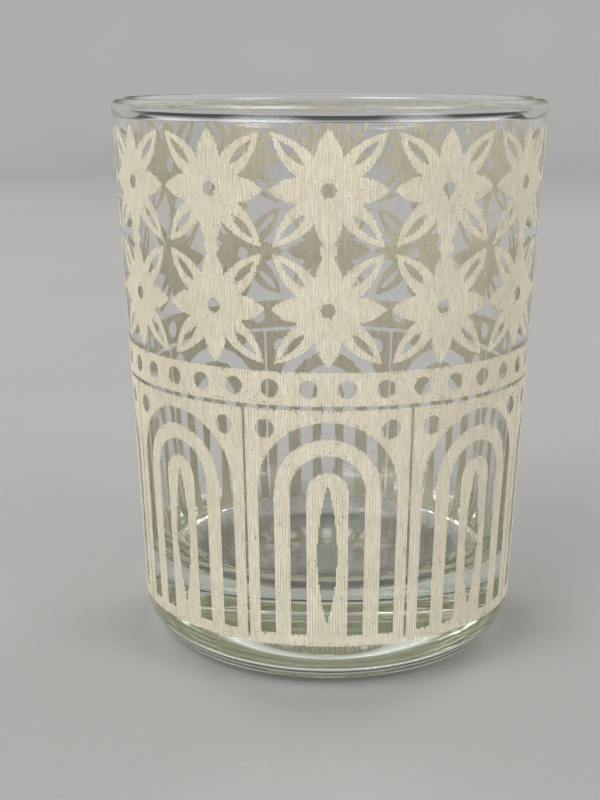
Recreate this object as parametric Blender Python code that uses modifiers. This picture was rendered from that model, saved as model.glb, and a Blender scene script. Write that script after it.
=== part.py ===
"""Rocks glass: a tapered, heavy-based tumbler with a beaded rim and engraving round its wall.

The glass is one turned body. The engraving is a thin frosted layer on its outside, in separate
areas with clear lines between them: an arcade of nested arches from the heavy base upwards, a dotted
belt round the middle, and columns of rosettes up to the rim.
Lengths are in metres and angles in degrees. The axis is Z and the foot stands on z = 0.
"""

import math

import bmesh
import bpy
from mathutils import Vector
from mathutils.geometry import delaunay_2d_cdt

# The turned glass
HEIGHT = 0.1102
RIM_RADIUS = 0.043
BEAD_WIDTH = 0.0033
BEAD_CROWN = 0.0014
BEAD_SKIRT = 0.00205
WALL_INSET = 0.00025
WALL_TAPER = 0.005
WALL_AT_RIM = 0.0024
WALL_AT_FLOOR = 0.0034
FLOOR_HEIGHT = 0.019
FLOOR_FILLET = 0.0085
HEEL_RADIUS = 0.0103
FOOT_WIDTH = 0.004
PUNT_RISE = 0.0012

# Facets of everything that goes round, and steps of rounded shapes
FACETS = 48
ARC_STEPS = 5
BEAD_STEPS = 3
PUNT_STEPS = 4
ROUND_STEPS = 8
PETAL_STEPS = 3

# The frosted layer and the clear strips that part its areas
LAYER_THICKNESS = 0.0002
LAYER_CLEARANCE = 0.00005
NECK_STRIP = 0.001
HEEL_STRIP = 0.0003
CLEAR_LINE = 0.0008
BELT_MIDDLE = 0.06
BELT_WIDTH = 0.0062

# The arcade below the belt: nested arches that stand on a sill, in a frame with pierced corners
ARCH_PANELS = 8
ARCH_FRAME = 0.0022
ARCH_STROKE = 0.003
ARCH_GAP = 0.0032
LANCET_WIDTH = 0.0038
CORNER_EYE = 0.0018
CORNER_INSET = 0.0037

# The belt
BELT_DOTS = 36
DOT_RADIUS = 0.0017

# The rosettes above the belt, whose slanting petals are slit from one share of their length to another
ROSETTE_COLUMNS = 12
ROSETTE_ROWS = 2
ROSETTE_GAP = 0.0006
ROSETTE_HUB = 0.003
ROSETTE_EYE = 0.0013
ROSETTE_LINK = 0.0015
PETAL_WIDTH = 0.0046
SLIT_WIDTH = 0.0014
SLIT_FROM = 0.42
SLIT_TO = 0.86

FRONT = math.radians(-90.0)
FACET_ANGLE = 2 * math.pi / FACETS
MERGE_DISTANCE = 0.000001


# The turned glass

def wall_radius(height):
    """Outside radius of the straight wall, which leans in from just inside the rim."""
    return RIM_RADIUS - WALL_INSET - WALL_TAPER * (1 - height / HEIGHT)


def bore_radius(height):
    """Inside radius of the straight wall, which thickens towards the floor."""
    share = (height - FLOOR_HEIGHT) / (HEIGHT - FLOOR_HEIGHT)
    return wall_radius(height) - (WALL_AT_FLOOR + (WALL_AT_RIM - WALL_AT_FLOOR) * share)


def lean(radius_at):
    """Angle between a straight wall and the axis, in radians."""
    return math.atan2(radius_at(HEIGHT) - radius_at(FLOOR_HEIGHT), HEIGHT - FLOOR_HEIGHT)


def arc(centre, across, up, first, last, steps):
    """Points of an elliptical arc with the given half-axes, from one angle to another."""
    angles = [first + (last - first) * i / steps for i in range(steps + 1)]
    return [(centre[0] + across * math.cos(a), centre[1] + up * math.sin(a)) for a in angles]


def neck_height():
    """Height at which the straight wall ends and the bead begins."""
    return HEIGHT - BEAD_CROWN - BEAD_SKIRT


def heel_top():
    """Height at which the straight wall ends and the rounded heel begins."""
    return HEEL_RADIUS * (1 - math.sin(lean(wall_radius)))


def inside_profile():
    """From the middle of the floor, round its fillet to the foot of the bore."""
    slope = lean(bore_radius)
    centre_height = FLOOR_HEIGHT + FLOOR_FILLET
    centre = (bore_radius(centre_height) - FLOOR_FILLET / math.cos(slope), centre_height)
    fillet = arc(centre, FLOOR_FILLET, FLOOR_FILLET, -math.pi / 2, -slope, ARC_STEPS)
    return [(0.0, FLOOR_HEIGHT), *fillet]


def skirt(neck_radius, widest_radius):
    """One side of the bead, which swells from the neck to the bead's widest point."""
    shares = [i / BEAD_STEPS for i in range(BEAD_STEPS + 1)]
    return [(widest_radius + (neck_radius - widest_radius) * (1 - s) ** 2, neck_height() + BEAD_SKIRT * s)
            for s in shares]


def rim_profile():
    """From the neck up the inner side of the bead, over its crown and down its outer side."""
    inner = skirt(bore_radius(neck_height()), RIM_RADIUS - BEAD_WIDTH)
    outer = skirt(wall_radius(neck_height()), RIM_RADIUS)
    centre = (RIM_RADIUS - BEAD_WIDTH / 2, HEIGHT - BEAD_CROWN)
    crown = arc(centre, BEAD_WIDTH / 2, BEAD_CROWN, math.pi, 0.0, 2 * BEAD_STEPS)
    return [*inner, *crown[1:-1], *reversed(outer)]


def outside_profile():
    """From the end of the wall round the heel and over the foot to the hollow underside."""
    slope = lean(wall_radius)
    centre = (wall_radius(heel_top()) - HEEL_RADIUS * math.cos(slope), HEEL_RADIUS)
    heel = arc(centre, HEEL_RADIUS, HEEL_RADIUS, -slope, -math.pi / 2, ARC_STEPS)
    hollow = centre[0] - FOOT_WIDTH
    shares = [i / PUNT_STEPS for i in range(PUNT_STEPS + 1)]
    punt = [(hollow * (1 - s), PUNT_RISE * (1 - math.cos(math.pi * s)) / 2) for s in shares]
    return [*heel, *punt]


def make_glass_body(material):
    """The whole tumbler, turned from one profile that starts and ends on the axis."""
    profile = inside_profile() + rim_profile() + outside_profile()
    mesh = bpy.data.meshes.new("glass_body")
    edges = [(i, i + 1) for i in range(len(profile) - 1)]
    mesh.from_pydata([(r, 0.0, z) for r, z in profile], edges, [])
    mesh.materials.append(material)
    body = bpy.data.objects.new("glass_body", mesh)
    screw = body.modifiers.new("turn", "SCREW")
    screw.steps = screw.render_steps = FACETS
    screw.use_merge_vertices = True
    screw.merge_threshold = MERGE_DISTANCE
    return body


# The engraving, drawn flat as (distance round the wall, height): each shape is an outline that
# either frosts what lies inside it or clears it again, on top of the shapes before it

def flat_radius():
    """The wall's radius at the belt, where distances round the wall are true."""
    return wall_radius(BELT_MIDDLE)


def half_width(count):
    """Half of one panel's width, with half of the clear line taken off each side."""
    return math.pi * flat_radius() / count - CLEAR_LINE / 2


def arcade_heights():
    return heel_top() + HEEL_STRIP, BELT_MIDDLE - BELT_WIDTH / 2 - CLEAR_LINE


def rosette_heights():
    return BELT_MIDDLE + BELT_WIDTH / 2 + CLEAR_LINE, neck_height() - NECK_STRIP


def box(left, right, low, high):
    return [(left, low), (right, low), (right, high), (left, high)]


def disc(x, z, radius):
    return arc((x, z), radius, radius, 0.0, 2 * math.pi, ROUND_STEPS)[:-1]


def arch(radius, foot, spring):
    """A round-headed opening between its foot and its crown."""
    return [(-radius, foot), (radius, foot), *arc((0.0, spring), radius, radius, 0.0, math.pi, ROUND_STEPS)]


def petal(base, tip, width):
    """A pointed oval from one point to another."""
    base, tip = Vector(base), Vector(tip)
    aside = Vector((base.y - tip.y, tip.x - base.x)).normalized() * width / 2
    shares = [i / PETAL_STEPS for i in range(1, PETAL_STEPS)]
    middles = [(base + (tip - base) * s, aside * 4 * s * (1 - s)) for s in shares]
    right = [middle - swell for middle, swell in middles]
    left = [middle + swell for middle, swell in reversed(middles)]
    return [tuple(p) for p in (base, *right, tip, *left)]


def moved(outline, x, z):
    return [(x + a, z + b) for a, b in outline]


def arch_panel():
    """Two nested arches on a sill, in a frame, the inner one round a lancet."""
    low, high = arcade_heights()
    half = half_width(ARCH_PANELS)
    sill = low + ARCH_FRAME
    opening = half - ARCH_FRAME
    spring = high - ARCH_FRAME - opening
    outer = opening - ARCH_GAP
    between = outer - ARCH_STROKE
    inner = between - ARCH_GAP
    lancet = petal((0.0, sill + ARCH_FRAME), (0.0, spring + inner - ARCH_FRAME), LANCET_WIDTH)
    shapes = [(True, box(-half, half, low, high))]
    for frosted, radius in ((False, opening), (True, outer), (False, between), (True, inner)):
        shapes.append((frosted, arch(radius, sill, spring)))
    shapes.append((False, lancet))
    for side in (-1, 1):
        shapes.append((False, disc(side * (half - CORNER_INSET), high - CORNER_INSET, CORNER_EYE)))
    return shapes


def dotted_belt():
    """A ring with a round dot cleared at each step."""
    around = math.pi * flat_radius()
    shapes = [(True, box(-around, around, BELT_MIDDLE - BELT_WIDTH / 2, BELT_MIDDLE + BELT_WIDTH / 2))]
    for i in range(BELT_DOTS):
        x = around * (2 * (i + 0.5) / BELT_DOTS - 1)
        shapes.append((False, disc(x, BELT_MIDDLE, DOT_RADIUS)))
    return shapes


def rosette(half_x, half_z):
    """Eight petals round a pierced hub: four upright and level ones, and four slit ones to the corners."""
    tips = [(half_x, 0.0), (0.0, half_z), (-half_x, 0.0), (0.0, -half_z)]
    across, up = half_x - ROSETTE_GAP, half_z - ROSETTE_GAP
    corners = [(across, up), (-across, up), (-across, -up), (across, -up)]
    shapes = [(True, petal((0.0, 0.0), tip, PETAL_WIDTH)) for tip in tips + corners]
    for x, z in corners:
        slit = petal((x * SLIT_FROM, z * SLIT_FROM), (x * SLIT_TO, z * SLIT_TO), SLIT_WIDTH)
        shapes.append((False, slit))
    shapes.append((True, disc(0.0, 0.0, ROSETTE_HUB)))
    shapes.append((False, disc(0.0, 0.0, ROSETTE_EYE)))
    return shapes


def rosette_column():
    """Rosettes one above the other, with a small disc where their petals meet."""
    low, high = rosette_heights()
    row = (high - low) / ROSETTE_ROWS
    shapes = []
    for i in range(ROSETTE_ROWS):
        middle = low + row * (i + 0.5)
        shapes += [(f, moved(o, 0.0, middle)) for f, o in rosette(half_width(ROSETTE_COLUMNS), row / 2)]
    for i in range(1, ROSETTE_ROWS):
        shapes.append((True, disc(0.0, low + row * i, ROSETTE_LINK)))
    return shapes


def on_facet(angle, radius):
    """The place at one angle on a prism that has a corner at every facet angle."""
    middle = (math.floor(angle / FACET_ANGLE) + 0.5) * FACET_ANGLE
    across = (angle - middle) / (FACET_ANGLE / 2) * radius * math.tan(FACET_ANGLE / 2)
    return (radius * math.cos(middle) - across * math.sin(middle),
            radius * math.sin(middle) + across * math.cos(middle))


def flat_triangles(shapes):
    """The frosted triangles of a flat drawing, cut along the lines where the wall's facets meet."""
    points, outlines, creases = [], [], []
    for _, outline in shapes:
        outlines.append(list(range(len(points), len(points) + len(outline))))
        points += [Vector(p) for p in outline]
    pitch = FACET_ANGLE * flat_radius()
    reach = max(p.x for p in points)
    low, high = min(p.y for p in points), max(p.y for p in points)
    count = int(reach / pitch + MERGE_DISTANCE)
    for i in range(-count, count + 1):
        creases.append((len(points), len(points) + 1))
        points += [Vector((i * pitch, low)), Vector((i * pitch, high))]
    corners, _, triangles, _, _, owners = delaunay_2d_cdt(points, creases, outlines, 0, MERGE_DISTANCE)
    frosted = [t for t, o in zip(triangles, owners) if o and shapes[max(o)][0]]
    return corners, frosted


def layer_mesh(name, shapes):
    """A drawing rolled round the front of the wall and given the layer's thickness."""
    corners, triangles = flat_triangles(shapes)
    layer = bmesh.new()
    for x, z in corners:
        place = on_facet(FRONT + x / flat_radius(), wall_radius(z) + LAYER_CLEARANCE)
        layer.verts.new((*place, z))
    layer.verts.ensure_lookup_table()
    for triangle in triangles:
        layer.faces.new([layer.verts[i] for i in triangle])
    loose = [v for v in layer.verts if not v.link_faces]
    bmesh.ops.delete(layer, geom=loose, context="VERTS")
    bmesh.ops.remove_doubles(layer, verts=layer.verts, dist=MERGE_DISTANCE)
    bmesh.ops.dissolve_limit(layer, angle_limit=FACET_ANGLE / 8, verts=layer.verts, edges=layer.edges)
    raised = bmesh.ops.extrude_face_region(layer, geom=layer.faces[:])
    for vert in raised["geom"]:
        if isinstance(vert, bmesh.types.BMVert):
            inner = wall_radius(vert.co.z) + LAYER_CLEARANCE
            vert.co.xy *= (inner + LAYER_THICKNESS) / inner
    bmesh.ops.recalc_face_normals(layer, faces=layer.faces)
    mesh = bpy.data.meshes.new(name)
    layer.to_mesh(mesh)
    layer.free()
    return mesh


# Materials and assembly

def principled(name, colour, roughness, transmission):
    material = bpy.data.materials.new(name)
    material.use_nodes = True
    shader = material.node_tree.nodes["Principled BSDF"]
    shader.inputs["Base Color"].default_value = (*colour, 1.0)
    shader.inputs["Roughness"].default_value = roughness
    shader.inputs["Metallic"].default_value = 0.0
    shader.inputs["Transmission Weight"].default_value = transmission
    shader.inputs["IOR"].default_value = 1.52
    return material


def place_copies(name, shapes, angles, material):
    """One object for each angle, all sharing one mesh that was made facing the front."""
    mesh = layer_mesh(name, shapes)
    mesh.materials.append(material)
    copies = []
    for i, angle in enumerate(angles):
        copy = bpy.data.objects.new(f"{name}_{i + 1}" if len(angles) > 1 else name, mesh)
        copy.rotation_euler.z = angle
        copies.append(copy)
    return copies


def build():
    for old in list(bpy.data.objects):
        bpy.data.objects.remove(old)
    clear = principled("clear_glass", (0.93, 0.95, 0.93), 0.02, 1.0)
    frosted = principled("frosted_engraving", (0.80, 0.78, 0.69), 0.75, 0.15)

    arch_angles = [2 * math.pi * i / ARCH_PANELS for i in range(ARCH_PANELS)]
    rosette_angles = [2 * math.pi * i / ROSETTE_COLUMNS for i in range(ROSETTE_COLUMNS)]
    parts = [make_glass_body(clear)]
    parts += place_copies("arch_panel", arch_panel(), arch_angles, frosted)
    parts += place_copies("dotted_belt", dotted_belt(), [0.0], frosted)
    parts += place_copies("rosette_column", rosette_column(), rosette_angles, frosted)

    collection = bpy.data.collections.new("rocks_glass")
    bpy.context.scene.collection.children.link(collection)
    root = bpy.data.objects.new("rocks_glass_frame", None)
    collection.objects.link(root)
    for part in parts:
        part.parent = root
        collection.objects.link(part)


build()
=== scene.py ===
"""Looks of the rocks glass: slightly uneven clear glass, and frost made of the engraver's lines."""

import math
import random

import bpy
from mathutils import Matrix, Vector, noise


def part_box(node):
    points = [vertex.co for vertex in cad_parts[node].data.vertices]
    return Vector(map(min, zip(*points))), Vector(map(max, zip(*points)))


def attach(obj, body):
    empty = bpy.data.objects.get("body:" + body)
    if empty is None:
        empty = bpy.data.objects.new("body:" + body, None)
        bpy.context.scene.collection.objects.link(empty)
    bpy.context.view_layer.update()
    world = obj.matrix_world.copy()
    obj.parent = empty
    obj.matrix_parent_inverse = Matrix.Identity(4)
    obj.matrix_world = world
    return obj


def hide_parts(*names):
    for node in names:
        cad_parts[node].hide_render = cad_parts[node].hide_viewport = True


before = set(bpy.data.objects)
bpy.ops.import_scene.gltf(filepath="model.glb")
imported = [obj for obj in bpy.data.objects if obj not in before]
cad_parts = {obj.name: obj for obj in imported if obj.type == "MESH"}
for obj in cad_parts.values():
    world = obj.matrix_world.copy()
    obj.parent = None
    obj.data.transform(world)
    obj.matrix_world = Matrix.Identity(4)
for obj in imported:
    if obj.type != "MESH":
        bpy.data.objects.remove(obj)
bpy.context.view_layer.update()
GLASS_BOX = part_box("glass_body")
BELT_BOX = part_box("dotted_belt")


def measured(length):
    """A length of the solids to the micrometre, without the digits that their files add."""
    return round(length, 6)


def count_nodes(name):
    """How many numbered nodes of one name the part has."""
    return sum(node.startswith(f"{name}_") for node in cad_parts)


# The turned glass, in metres, as in the part
HEIGHT = measured(GLASS_BOX[1].z)
RIM_RADIUS = measured(GLASS_BOX[1].x)
BEAD_WIDTH = 0.0033
BEAD_CROWN = 0.0014
BEAD_SKIRT = 0.00205
WALL_INSET = 0.00025
WALL_TAPER = 0.005
WALL_AT_RIM = 0.0024
WALL_AT_FLOOR = 0.0034
FLOOR_HEIGHT = 0.019
FLOOR_FILLET = 0.0085
HEEL_RADIUS = 0.0103
FOOT_WIDTH = 0.004
PUNT_RISE = 0.0012

# How finely round shapes are divided
FACETS = 256
ARC_STEPS = 24
BEAD_STEPS = 12
WALL_STEPS = 24
ROUND_STEPS = 48
PETAL_STEPS = 16

# How deep and how long the unevenness of the glass is, in metres
INSIDE_RIPPLE = 0.00004
RIM_RIPPLE = 0.00005
HEEL_RIPPLE = 0.00006
UNDERSIDE_RIPPLE = 0.00012
RIPPLE_LENGTH = 0.009
RIPPLE_HEIGHT = 0.004

# The share of the punt's rise at which the underside's unevenness is at its full depth
RIPPLE_ONSET = 0.25

# The engraved areas, in metres, as in the part
NECK_STRIP = 0.001
HEEL_STRIP = 0.0003
CLEAR_LINE = 0.0008

# The arcade below the belt: nested arches that stand on a sill, in a frame with pierced corners
ARCH_PANELS = count_nodes("arch_panel")
ARCH_FRAME = 0.0022
ARCH_STROKE = 0.003
ARCH_GAP = 0.0032
LANCET_WIDTH = 0.0038
CORNER_EYE = 0.0018
CORNER_INSET = 0.0037

# The belt
BELT_MIDDLE = measured((BELT_BOX[0].z + BELT_BOX[1].z) / 2)
BELT_WIDTH = measured(BELT_BOX[1].z - BELT_BOX[0].z)
BELT_DOTS = 36
DOT_RADIUS = 0.0017

# The rosettes above the belt, whose slanting petals are slit from one share of their length to another
ROSETTE_COLUMNS = count_nodes("rosette_column")
ROSETTE_ROWS = 2
ROSETTE_GAP = 0.0006
ROSETTE_HUB = 0.003
ROSETTE_EYE = 0.0013
ROSETTE_LINK = 0.0015
PETAL_WIDTH = 0.0046
SLIT_WIDTH = 0.0014
SLIT_FROM = 0.42
SLIT_TO = 0.86

# The engraver's upright lines; how much each covers and how far they pair up are shares of their pitch
LINES = 896
LINE_COVER = 0.88
LINE_PAIRING = 0.055
LINE_DEPTH = 0.00002
LINE_THICKNESS = 0.00005
SHORTEST_LINE = 0.00018
END_STAGGER = 0.00008
END_SCATTER = 0.0001
END_SLANT = 0.00005

# The small pits in the lines: in clusters, where the noise is above a level, and just inside some ends
PITS_PER_METRE = 60.0
PIT_CLUSTER = 0.007
PIT_CLUSTER_LEVEL = 0.12
PIT_SHORTEST = 0.00014
PIT_LONGEST = 0.00032
END_PIT_SHARE = 0.16
END_PIT_NEAREST = 0.00022
END_PIT_FURTHEST = 0.0006
SHORTEST_WITH_END_PITS = 3 * END_PIT_FURTHEST

# The direction, round the glass, that faces the camera
FRONT = math.radians(-90.0)

# The materials of the glass and the frost
GLASS_IOR = 1.52
GLASS_TINT = (0.75, 0.82, 0.69)
TINT_DENSITY = 12.0
FILM_ROUGHNESS = 0.03
FROST_IOR = 1.45
FROST_TRANSMISSION = 0.2
FROST_ROUGHNESS = (0.75, 1.0)
FROST_TONES = ((0.58, 0.525, 0.405), (0.905, 0.835, 0.665))

# How rough standing about has made the foot, and how far up it shows, in metres
FOOT_SCUFF = 0.06
SCUFF_TOP = 0.008

# Where a Mix node has its colours, among sockets whose names repeat for each kind of data
MIX_COLOUR_A = 6
MIX_COLOUR_B = 7
MIX_COLOUR_RESULT = 2

# The stage, in metres: a flat floor that bends up into a low wall
STAGE_MIDDLE = 0.15
STAGE_FLAT = 1.3
STAGE_BEND = 0.25
STAGE_TOP = 0.33
STAGE_SIDES = 96
STAGE_BEND_STEPS = 12
STAGE_FLOOR_TONES = ((0.265, 0.262, 0.256), (0.285, 0.282, 0.276))
# The wall's tones are painted light: lighter than the floor's to make up for the less light the wall gets
STAGE_WALL_PAINTED_LIGHT_TONES = ((0.41, 0.406, 0.398), (0.435, 0.431, 0.423))

# The softboxes: name, place and size in metres, watts, and whether the glass shows them
SOFTBOXES = (
    ("key", (-0.9, -1.1, 1.25), (1.9, 1.9), 82.0, True),
    ("fill", (1.1, -0.9, 0.85), (1.3, 1.4), 32.0, True),
    ("back_left", (-1.0, 1.0, 1.0), (1.4, 1.4), 34.0, False),
    ("back_right", (1.0, 1.0, 1.0), (1.4, 1.4), 34.0, False),
)
LIGHT_TARGET = (0.0, 0.0, 0.06)

# Where a softbox's light begins to fade and where it is gone, in shares of its size from its middle
CLOTH_MIDDLE = (0.5, 0.5, 0.0)
FADE_START = 0.15
FADE_END = 0.5

# The band of light round the stage, as elevation in degrees and brightness
LIGHT_BAND = ((15.0, 0.04), (26.0, 0.76), (55.0, 0.76), (80.0, 0.4))

# The camera: place in metres, degrees that it looks down and to the left, lens and sensor in millimetres
CAMERA_PLACE = (0.0, -0.2842, 0.1158)
CAMERA_DOWN = 13.3
CAMERA_LEFT = 1.17
CAMERA_LENS = 63.27
CAMERA_SENSOR = 36.0
CAMERA_NEAREST = 0.01


# Curves and turned shapes

def shares(steps):
    """Even shares from 0 to 1."""
    return [i / steps for i in range(steps + 1)]


def arc(centre, across, up, first, last, steps):
    """Points of an oval from one angle to another."""
    angles = [first + (last - first) * s for s in shares(steps)]
    return [(centre[0] + across * math.cos(a), centre[1] + up * math.sin(a)) for a in angles]


def turned(name, rings, material):
    """A smooth object through rings that have equally many points, or a single one at either end."""
    sides = max(len(ring) for ring in rings)
    verts, loops, faces = [], [], []
    for ring in rings:
        loops.append([len(verts) + i % len(ring) for i in range(sides)])
        verts += ring
    for upper, lower in zip(loops, loops[1:]):
        for i in range(sides):
            j = (i + 1) % sides
            corners = [upper[i], lower[i], lower[j], upper[j]]
            faces.append(list(dict.fromkeys(corners)))
    mesh = bpy.data.meshes.new(name)
    mesh.from_pydata(verts, [], faces)
    mesh.shade_smooth()
    mesh.materials.append(material)
    return bpy.data.objects.new(name, mesh)


def put_in_scene(thing):
    bpy.context.scene.collection.objects.link(thing)


# The glass

def wall_radius(height):
    return RIM_RADIUS - WALL_INSET - WALL_TAPER * (1 - height / HEIGHT)


def bore_radius(height):
    share = (height - FLOOR_HEIGHT) / (HEIGHT - FLOOR_HEIGHT)
    return wall_radius(height) - (WALL_AT_FLOOR + (WALL_AT_RIM - WALL_AT_FLOOR) * share)


def lean(radius_at):
    """How far a wall leans out, in radians."""
    return math.atan2(radius_at(HEIGHT) - radius_at(FLOOR_HEIGHT), HEIGHT - FLOOR_HEIGHT)


def neck_height():
    return HEIGHT - BEAD_CROWN - BEAD_SKIRT


def heel_top():
    return HEEL_RADIUS * (1 - math.sin(lean(wall_radius)))


def wall_heights(low):
    """Heights up a straight wall, closer together towards the neck, where it bends into the bead."""
    return [low + (neck_height() - low) * (1 - (1 - s) ** 2) for s in shares(WALL_STEPS)[1:-1]]


def inside_profile():
    """From the middle of the floor up to the neck, as (radius, height, depth of unevenness)."""
    slope = lean(bore_radius)
    centre_height = FLOOR_HEIGHT + FLOOR_FILLET
    centre = (bore_radius(centre_height) - FLOOR_FILLET / math.cos(slope), centre_height)
    fillet = arc(centre, FLOOR_FILLET, FLOOR_FILLET, -math.pi / 2, -slope, ARC_STEPS)
    floor = [(centre[0] * s, FLOOR_HEIGHT) for s in shares(WALL_STEPS)[:-1]]
    bore = [(bore_radius(z), z) for z in wall_heights(fillet[-1][1])]
    return [(r, z, INSIDE_RIPPLE) for r, z in floor + fillet + bore]


def skirt(neck_radius, widest_radius):
    """One side of the bead's lower half, which bends out from the neck."""
    return [(widest_radius + (neck_radius - widest_radius) * (1 - s) ** 2, neck_height() + BEAD_SKIRT * s)
            for s in shares(BEAD_STEPS)]


def rim_profile():
    """From the neck inside over the bead to the neck outside, as (radius, height, depth of unevenness)."""
    inner = skirt(bore_radius(neck_height()), RIM_RADIUS - BEAD_WIDTH)
    outer = skirt(wall_radius(neck_height()), RIM_RADIUS)
    centre = (RIM_RADIUS - BEAD_WIDTH / 2, HEIGHT - BEAD_CROWN)
    crown = arc(centre, BEAD_WIDTH / 2, BEAD_CROWN, math.pi, 0.0, 2 * BEAD_STEPS)
    return ([(r, z, RIM_RIPPLE) for r, z in inner + crown[1:]]
            + [(r, z, RIM_RIPPLE * (z - neck_height()) / BEAD_SKIRT) for r, z in reversed(outer[:-1])])


def outside_profile():
    """From the neck down to the middle of the underside, as (radius, height, depth of unevenness)."""
    slope = lean(wall_radius)
    wall = [(wall_radius(z), z, 0.0) for z in reversed(wall_heights(heel_top()))]
    centre = (wall_radius(heel_top()) - HEEL_RADIUS * math.cos(slope), HEEL_RADIUS)
    turn = arc(centre, HEEL_RADIUS, HEEL_RADIUS, -slope, -math.pi / 2, ARC_STEPS)
    heel = [(r, z, HEEL_RIPPLE * s) for (r, z), s in zip(turn, shares(ARC_STEPS))]
    hollow = centre[0] - FOOT_WIDTH
    punt = []
    for s in shares(WALL_STEPS):
        rise = (1 - math.cos(math.pi * s)) / 2
        punt.append((hollow * (1 - s), PUNT_RISE * rise, UNDERSIDE_RIPPLE * min(1.0, rise / RIPPLE_ONSET)))
    return wall + heel + punt


def sinking(profile):
    """The profile's points, each with how far into the glass its unevenness can sink it."""
    result = []
    for i, (r, z, depth) in enumerate(profile):
        before, after = profile[max(i - 1, 0)], profile[min(i + 1, len(profile) - 1)]
        inward = Vector((after[1] - before[1], before[0] - after[0])).normalized()
        result.append((r, z, depth * inward))
    return result


def uneven_ring(r, z, sink):
    """The points round the glass at one point of its profile, or a single one on its axis."""
    if r == 0.0:
        return [(0.0, 0.0, z)]
    ring = []
    for i in range(FACETS):
        angle = 2 * math.pi * i / FACETS
        place = Vector((r * math.cos(angle), r * math.sin(angle), z))
        wave = Vector((place.x / RIPPLE_LENGTH, place.y / RIPPLE_LENGTH, place.z / RIPPLE_HEIGHT))
        share = (1 + noise.noise(wave)) / 2
        radius = r + sink.x * share
        ring.append((radius * math.cos(angle), radius * math.sin(angle), z + sink.y * share))
    return ring


def make_tumbler(material):
    profile = sinking(inside_profile() + rim_profile() + outside_profile())
    return turned("tumbler", [uneven_ring(*point) for point in profile], material)


# Outlines of the engraving, drawn flat as (distance round the wall, height)

def flat_radius():
    return wall_radius(BELT_MIDDLE)


def half_width(count):
    return math.pi * flat_radius() / count - CLEAR_LINE / 2


def arcade_heights():
    return heel_top() + HEEL_STRIP, BELT_MIDDLE - BELT_WIDTH / 2 - CLEAR_LINE


def rosette_heights():
    return BELT_MIDDLE + BELT_WIDTH / 2 + CLEAR_LINE, neck_height() - NECK_STRIP


def box(left, right, low, high):
    return [(left, low), (right, low), (right, high), (left, high)]


def disc(x, z, radius):
    return arc((x, z), radius, radius, 0.0, 2 * math.pi, ROUND_STEPS)[:-1]


def arch(radius, foot, spring):
    """A round-headed opening between its foot and its crown."""
    return [(-radius, foot), (radius, foot), *arc((0.0, spring), radius, radius, 0.0, math.pi, ROUND_STEPS)]


def petal(base, tip, width):
    """A pointed oval from one point to another, widest halfway."""
    base, tip = Vector(base), Vector(tip)
    aside = Vector((base.y - tip.y, tip.x - base.x)).normalized() * width / 2
    middles = [(base + (tip - base) * s, aside * 4 * s * (1 - s)) for s in shares(PETAL_STEPS)[1:-1]]
    right = [middle - swell for middle, swell in middles]
    left = [middle + swell for middle, swell in reversed(middles)]
    return [tuple(p) for p in (base, *right, tip, *left)]


def raised(outline, height):
    return [(x, height + z) for x, z in outline]


# Shapes of the engraving: each frosts (True) or clears (False) an outline, on top of those before it

def arch_panel():
    """Two nested arches on a sill, in a frame, the inner one round a lancet."""
    low, high = arcade_heights()
    half = half_width(ARCH_PANELS)
    sill = low + ARCH_FRAME
    opening = half - ARCH_FRAME
    spring = high - ARCH_FRAME - opening
    outer = opening - ARCH_GAP
    hollow = outer - ARCH_STROKE
    inner = hollow - ARCH_GAP
    lancet = petal((0.0, sill + ARCH_FRAME), (0.0, spring + inner - ARCH_FRAME), LANCET_WIDTH)
    shapes = [(True, box(-half, half, low, high))]
    for frosted, radius in ((False, opening), (True, outer), (False, hollow), (True, inner)):
        shapes.append((frosted, arch(radius, sill, spring)))
    shapes.append((False, lancet))
    for side in (-1, 1):
        shapes.append((False, disc(side * (half - CORNER_INSET), high - CORNER_INSET, CORNER_EYE)))
    return shapes


def dotted_belt():
    """A ring with a round dot cleared at each step."""
    around = math.pi * flat_radius()
    shapes = [(True, box(-around, around, BELT_MIDDLE - BELT_WIDTH / 2, BELT_MIDDLE + BELT_WIDTH / 2))]
    for i in range(BELT_DOTS):
        x = around * (2 * (i + 0.5) / BELT_DOTS - 1)
        shapes.append((False, disc(x, BELT_MIDDLE, DOT_RADIUS)))
    return shapes


def rosette(half_x, half_z):
    """Eight petals round a pierced hub: four upright and level ones, and four slit ones to the corners."""
    tips = [(half_x, 0.0), (0.0, half_z), (-half_x, 0.0), (0.0, -half_z)]
    across, up = half_x - ROSETTE_GAP, half_z - ROSETTE_GAP
    corners = [(across, up), (-across, up), (-across, -up), (across, -up)]
    shapes = [(True, petal((0.0, 0.0), tip, PETAL_WIDTH)) for tip in tips + corners]
    for x, z in corners:
        slit = petal((x * SLIT_FROM, z * SLIT_FROM), (x * SLIT_TO, z * SLIT_TO), SLIT_WIDTH)
        shapes.append((False, slit))
    shapes.append((True, disc(0.0, 0.0, ROSETTE_HUB)))
    shapes.append((False, disc(0.0, 0.0, ROSETTE_EYE)))
    return shapes


def rosette_column():
    """Rosettes one above the other, with a small disc where their petals meet."""
    low, high = rosette_heights()
    row = (high - low) / ROSETTE_ROWS
    shapes = []
    for i in range(ROSETTE_ROWS):
        middle = low + row * (i + 0.5)
        for frosted, outline in rosette(half_width(ROSETTE_COLUMNS), row / 2):
            shapes.append((frosted, raised(outline, middle)))
    for i in range(1, ROSETTE_ROWS):
        shapes.append((True, disc(0.0, low + row * i, ROSETTE_LINK)))
    return shapes


# Upright lines through the shapes, as spans from one height to another

def crossings(outline, x):
    """Heights between which an upright line lies inside an outline."""
    heights = []
    for (x0, z0), (x1, z1) in zip(outline, outline[1:] + outline[:1]):
        if (x0 <= x) != (x1 <= x):
            heights.append(z0 + (z1 - z0) * (x - x0) / (x1 - x0))
    heights.sort()
    return list(zip(heights[::2], heights[1::2]))


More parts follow.
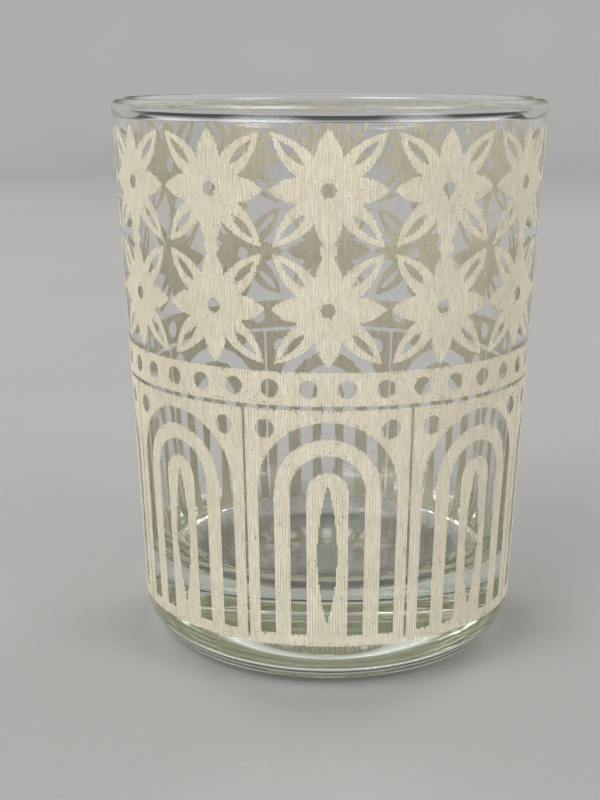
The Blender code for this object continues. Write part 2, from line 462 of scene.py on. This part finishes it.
def joined(spans, low, high):
    """Spans with one more frosted in."""
    apart = [s for s in spans if s[1] < low or s[0] > high]
    touching = [s for s in spans if not (s[1] < low or s[0] > high)]
    low = min([low] + [s[0] for s in touching])
    high = max([high] + [s[1] for s in touching])
    return sorted(apart + [(low, high)])


def parted(spans, low, high):
    """Spans with one stretch cleared out of them."""
    result = []
    for a, b in spans:
        result += [(a, min(b, low))] if a < low else []
        result += [(max(a, high), b)] if b > high else []
    return result


def frosted_spans(shapes, x):
    spans = []
    for frosted, outline in shapes:
        for low, high in crossings(outline, x):
            spans = joined(spans, low, high) if frosted else parted(spans, low, high)
    return spans


def ragged(spans, stagger, chance):
    """Spans with uneven ends, joined where the clear stretch between two is too short for the beam."""
    result = []
    for low, high in spans:
        low += stagger + chance.uniform(-END_SCATTER, END_SCATTER)
        high += stagger + chance.uniform(-END_SCATTER, END_SCATTER)
        if result and low - result[-1][1] < PIT_SHORTEST:
            low = result.pop()[0]
        result.append((low, high))
    return result


def pits_of(x, low, high, chance):
    """Heights of the small pits in one line."""
    tries = int((high - low) * PITS_PER_METRE + chance.random())
    pits = [chance.uniform(low, high) for _ in range(tries)]
    pits = [z for z in pits if noise.noise(Vector((x, z, 0.0)) / PIT_CLUSTER) > PIT_CLUSTER_LEVEL]
    if high - low > SHORTEST_WITH_END_PITS:
        for end, inward in ((low, 1), (high, -1)):
            if chance.random() < END_PIT_SHARE:
                pits.append(end + inward * chance.uniform(END_PIT_NEAREST, END_PIT_FURTHEST))
    return sorted(pits)


def pitted(spans, x, chance):
    """Spans broken by the small pits that an engraver's beam leaves out."""
    result = []
    for low, high in spans:
        for pit in pits_of(x, low, high, chance):
            if pit > low:
                result.append((low, pit))
                low = min(pit + chance.uniform(PIT_SHORTEST, PIT_LONGEST), high)
        result.append((low, high))
    return result


# Engraved lines as flat boxes, whose faces are given by the order of their corners

LINE_FACES = [(0, 1, 3, 2), (4, 6, 7, 5), (0, 4, 5, 1), (2, 3, 7, 6), (0, 2, 6, 4), (1, 5, 7, 3)]


def line_corners(angle, low, high, chance):
    """The eight corners of one engraved line, with slanting ends."""
    half = math.pi / LINES * LINE_COVER
    corners, ends = [], []
    for height in (low, high):
        slant = chance.uniform(-END_SLANT, END_SLANT)
        ends.append((height - slant, height + slant))
    for lift in (-LINE_DEPTH, LINE_THICKNESS - LINE_DEPTH):
        for side, turn in enumerate((-half, half)):
            for end in ends:
                height = end[side]
                radius = wall_radius(height) + lift
                corners.append((radius * math.cos(angle + turn), radius * math.sin(angle + turn), height))
    return corners


def make_engraving(name, shapes, centre_angle, material):
    """One engraved area, made of upright lines on the raster that goes round the whole glass."""
    chance = random.Random(name)
    reach = max(x for _, outline in shapes for x, _ in outline)
    verts, faces = [], []
    for i in range(LINES):
        angle = 2 * math.pi * (i + 0.5) / LINES
        turn = math.remainder(angle - centre_angle - FRONT, 2 * math.pi)
        x = turn * flat_radius()
        if abs(x) >= reach:
            continue
        side = 1 if i % 2 else -1
        stagger = END_STAGGER / 2 * side
        beam = angle - 2 * math.pi / LINES * LINE_PAIRING * side
        spans = ragged(frosted_spans(shapes, x), stagger, chance)
        for low, high in pitted(spans, x, chance):
            if high - low < SHORTEST_LINE:
                continue
            first = len(verts)
            verts += line_corners(beam, low, high, chance)
            faces += [tuple(first + k for k in face) for face in LINE_FACES]
    mesh = bpy.data.meshes.new(name)
    mesh.from_pydata(verts, [], faces)
    mesh.materials.append(material)
    return bpy.data.objects.new(name, mesh)


# Parts of materials

def new_material(name):
    """A material with its node tree and its shader."""
    material = bpy.data.materials.new(name)
    material.use_nodes = True
    return material, material.node_tree, material.node_tree.nodes["Principled BSDF"]


def speckle(tree, size, detail):
    """Noise whose blotches have a size in metres along x, y and z."""
    place = tree.nodes.new("ShaderNodeTexCoord")
    stretch = tree.nodes.new("ShaderNodeMapping")
    stretch.inputs["Scale"].default_value = [1 / s for s in size]
    texture = tree.nodes.new("ShaderNodeTexNoise")
    texture.inputs["Scale"].default_value = 1.0
    texture.inputs["Detail"].default_value = detail
    tree.links.new(place.outputs["Object"], stretch.inputs["Vector"])
    tree.links.new(stretch.outputs["Vector"], texture.inputs["Vector"])
    return texture.outputs["Fac"]


def mixture(tree, first, second, share):
    mix = tree.nodes.new("ShaderNodeMix")
    mix.inputs["Factor"].default_value = share
    tree.links.new(first, mix.inputs["A"])
    tree.links.new(second, mix.inputs["B"])
    return mix.outputs["Result"]


def between(tree, value, low, high, spread=0.2):
    """A colour that goes from one to another over the middle of a noise's range."""
    ramp = tree.nodes.new("ShaderNodeValToRGB")
    for stop, position, colour in zip(ramp.color_ramp.elements, (0.5 - spread, 0.5 + spread), (low, high)):
        stop.position = position
        stop.color = (*colour, 1.0)
    tree.links.new(value, ramp.inputs["Fac"])
    return ramp.outputs["Color"]


def grey(value):
    return (value, value, value)


def roughen(tree, shader, height, strength, distance):
    bump = tree.nodes.new("ShaderNodeBump")
    bump.inputs["Strength"].default_value = strength
    bump.inputs["Distance"].default_value = distance
    tree.links.new(height, bump.inputs["Height"])
    tree.links.new(bump.outputs["Normal"], shader.inputs["Normal"])


def by_height(tree, top, at_foot, at_top):
    """A value that goes evenly from one to another between the ground and a height."""
    place = tree.nodes.new("ShaderNodeTexCoord")
    split = tree.nodes.new("ShaderNodeSeparateXYZ")
    rise = tree.nodes.new("ShaderNodeMapRange")
    for socket, value in (("From Max", top), ("To Min", at_foot), ("To Max", at_top)):
        rise.inputs[socket].default_value = value
    tree.links.new(place.outputs["Object"], split.inputs["Vector"])
    tree.links.new(split.outputs["Z"], rise.inputs["Value"])
    return rise.outputs["Result"]


# Materials

def clear_glass():
    """Soda glass, green only where it is thick, with the film that wiping leaves and a scuffed foot."""
    material, tree, shader = new_material("clear_glass")
    smears = speckle(tree, size=(0.012, 0.012, 0.03), detail=3.0)
    wipes = speckle(tree, size=(0.0015, 0.0015, 0.006), detail=2.0)
    film = between(tree, mixture(tree, smears, wipes, share=0.4), grey(0.0), grey(FILM_ROUGHNESS))
    dullness = tree.nodes.new("ShaderNodeMath")
    tree.links.new(film, dullness.inputs[0])
    tree.links.new(by_height(tree, SCUFF_TOP, FOOT_SCUFF, 0.0), dullness.inputs[1])
    tree.links.new(dullness.outputs["Value"], shader.inputs["Roughness"])
    shader.inputs["Base Color"].default_value = (1.0, 1.0, 1.0, 1.0)
    shader.inputs["IOR"].default_value = GLASS_IOR
    shader.inputs["Transmission Weight"].default_value = 1.0
    absorb = tree.nodes.new("ShaderNodeVolumeAbsorption")
    absorb.inputs["Color"].default_value = (*GLASS_TINT, 1.0)
    absorb.inputs["Density"].default_value = TINT_DENSITY
    tree.links.new(absorb.outputs["Volume"], tree.nodes["Material Output"].inputs["Volume"])
    return material


def frosted_engraving():
    """Frost as the beam leaves it: each line has its own tone, over a fine crumbly grain."""
    material, tree, shader = new_material("frosted_engraving")
    lines = speckle(tree, size=(0.0003, 0.0003, 0.003), detail=1.0)
    grain = speckle(tree, size=(0.00022, 0.00022, 0.00022), detail=2.0)
    clouds = speckle(tree, size=(0.009, 0.009, 0.009), detail=2.0)
    tone = mixture(tree, mixture(tree, lines, grain, share=0.55), clouds, share=0.12)
    tree.links.new(between(tree, tone, *FROST_TONES, spread=0.15), shader.inputs["Base Color"])
    tree.links.new(between(tree, grain, *map(grey, FROST_ROUGHNESS)), shader.inputs["Roughness"])
    roughen(tree, shader, mixture(tree, grain, lines, share=0.4), strength=0.5, distance=0.00008)
    shader.inputs["IOR"].default_value = FROST_IOR
    shader.inputs["Transmission Weight"].default_value = FROST_TRANSMISSION
    return material


def floor_material():
    """Pale paper, with painted light up the wall: its colour is painted lighter there because the wall gets
    less light than the floor.
    """
    material, tree, shader = new_material("floor")
    grain = speckle(tree, size=(0.002, 0.002, 0.002), detail=3.0)
    clouds = speckle(tree, size=(0.15, 0.15, 0.15), detail=2.0)
    tone = mixture(tree, grain, clouds, share=0.5)
    # Painted light: the colour goes from the floor's tones to the lighter painted tones of the wall, with
    # height
    painted_light_blend = tree.nodes.new("ShaderNodeMix")
    painted_light_blend.data_type = "RGBA"
    tree.links.new(by_height(tree, STAGE_TOP, 0.0, 1.0), painted_light_blend.inputs["Factor"])
    tree.links.new(between(tree, tone, *STAGE_FLOOR_TONES), painted_light_blend.inputs[MIX_COLOUR_A])
    tree.links.new(between(tree, tone, *STAGE_WALL_PAINTED_LIGHT_TONES), painted_light_blend.inputs[MIX_COLOUR_B])
    tree.links.new(painted_light_blend.outputs[MIX_COLOUR_RESULT], shader.inputs["Base Color"])
    shader.inputs["Roughness"].default_value = 0.9
    shader.inputs["Specular IOR Level"].default_value = 0.1
    return material


# The stage

def level_ring(radius, height, sides):
    angles = [2 * math.pi * i / sides for i in range(sides)]
    return [(radius * math.cos(a), radius * math.sin(a), height) for a in angles]


def make_floor():
    """A round floor that sweeps up into a low wall all round."""
    bend = arc((STAGE_FLAT, STAGE_BEND), STAGE_BEND, STAGE_BEND, -math.pi / 2, 0.0, STAGE_BEND_STEPS)
    profile = [(STAGE_MIDDLE, 0.0), *bend, (STAGE_FLAT + STAGE_BEND, STAGE_TOP)]
    rings = [[(0.0, 0.0, 0.0)], *(level_ring(r, z, STAGE_SIDES) for r, z in profile)]
    floor = turned("floor", rings, floor_material())
    put_in_scene(floor)


def fade_edges(light):
    """Lets a softbox's light fade from the middle of its cloth to the edge."""
    light.use_nodes = True
    tree = light.node_tree
    place = tree.nodes.new("ShaderNodeNewGeometry")
    offset = tree.nodes.new("ShaderNodeVectorMath")
    offset.operation = "DISTANCE"
    offset.inputs[1].default_value = CLOTH_MIDDLE
    fade = tree.nodes.new("ShaderNodeMapRange")
    fade.interpolation_type = "SMOOTHSTEP"
    fading = {"From Min": FADE_START, "From Max": FADE_END, "To Min": 1.0, "To Max": 0.0}
    for socket, value in fading.items():
        fade.inputs[socket].default_value = value
    tree.links.new(place.outputs["Parametric"], offset.inputs[0])
    tree.links.new(offset.outputs["Value"], fade.inputs["Value"])
    tree.links.new(fade.outputs["Result"], tree.nodes["Emission"].inputs["Strength"])


def make_softbox(name, place, size, watts, seen_in_glass):
    light = bpy.data.lights.new(name, "AREA")
    light.shape = "RECTANGLE"
    light.size, light.size_y = size
    light.energy = watts
    fade_edges(light)
    lamp = bpy.data.objects.new(name, light)
    lamp.location = place
    lamp.rotation_euler = (Vector(LIGHT_TARGET) - Vector(place)).to_track_quat("-Z", "Y").to_euler()
    lamp.visible_glossy = seen_in_glass
    lamp.visible_transmission = seen_in_glass
    put_in_scene(lamp)


def make_world():
    """A soft band of light all round, between a dark gap above the floor's wall and a dim ceiling."""
    world = bpy.data.worlds.new("studio")
    world.use_nodes = True
    tree = world.node_tree
    place = tree.nodes.new("ShaderNodeTexCoord")
    split = tree.nodes.new("ShaderNodeSeparateXYZ")
    ramp = tree.nodes.new("ShaderNodeValToRGB")
    stops = ramp.color_ramp.elements
    for elevation, brightness in LIGHT_BAND:
        stop = stops.new(math.sin(math.radians(elevation)))
        stop.color = (*grey(brightness), 1.0)
    # The two stops that a new ramp has, at its ends
    stops.remove(stops[0])
    stops.remove(stops[-1])
    tree.links.new(place.outputs["Generated"], split.inputs["Vector"])
    tree.links.new(split.outputs["Z"], ramp.inputs["Fac"])
    tree.links.new(ramp.outputs["Color"], tree.nodes["Background"].inputs["Color"])
    bpy.context.scene.world = world


def make_camera():
    data = bpy.data.cameras.new("camera")
    data.sensor_width = CAMERA_SENSOR
    data.lens = CAMERA_LENS
    data.clip_start = CAMERA_NEAREST
    camera = bpy.data.objects.new("camera", data)
    camera.location = CAMERA_PLACE
    camera.rotation_euler = (math.radians(90.0 - CAMERA_DOWN), 0.0, math.radians(CAMERA_LEFT))
    put_in_scene(camera)
    bpy.context.scene.camera = camera


# The pieces

def add_piece(piece, node):
    put_in_scene(piece)
    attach(piece, "root")
    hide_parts(node)


def add_engravings():
    frost = frosted_engraving()
    for name, shapes, count in (("arch_panel", arch_panel(), ARCH_PANELS),
                                ("rosette_column", rosette_column(), ROSETTE_COLUMNS)):
        for i in range(count):
            node = f"{name}_{i + 1}"
            lines = make_engraving(f"{node}_lines", shapes, 2 * math.pi * i / count, frost)
            add_piece(lines, node)
    belt = make_engraving("dotted_belt_lines", dotted_belt(), 0.0, frost)
    add_piece(belt, "dotted_belt")


make_camera()
make_floor()
make_world()
for softbox in SOFTBOXES:
    make_softbox(*softbox)
add_piece(make_tumbler(clear_glass()), "glass_body")
add_engravings()
bpy.context.scene.view_settings.view_transform = "Standard"
# Light is thrown to and fro many times inside thick glass, and isn't to be cut off or blurred there
bpy.context.scene.cycles.blur_glossy = 0.0
bpy.context.scene.cycles.max_bounces = 40
bpy.context.scene.cycles.glossy_bounces = 32
bpy.context.scene.cycles.transmission_bounces = 24
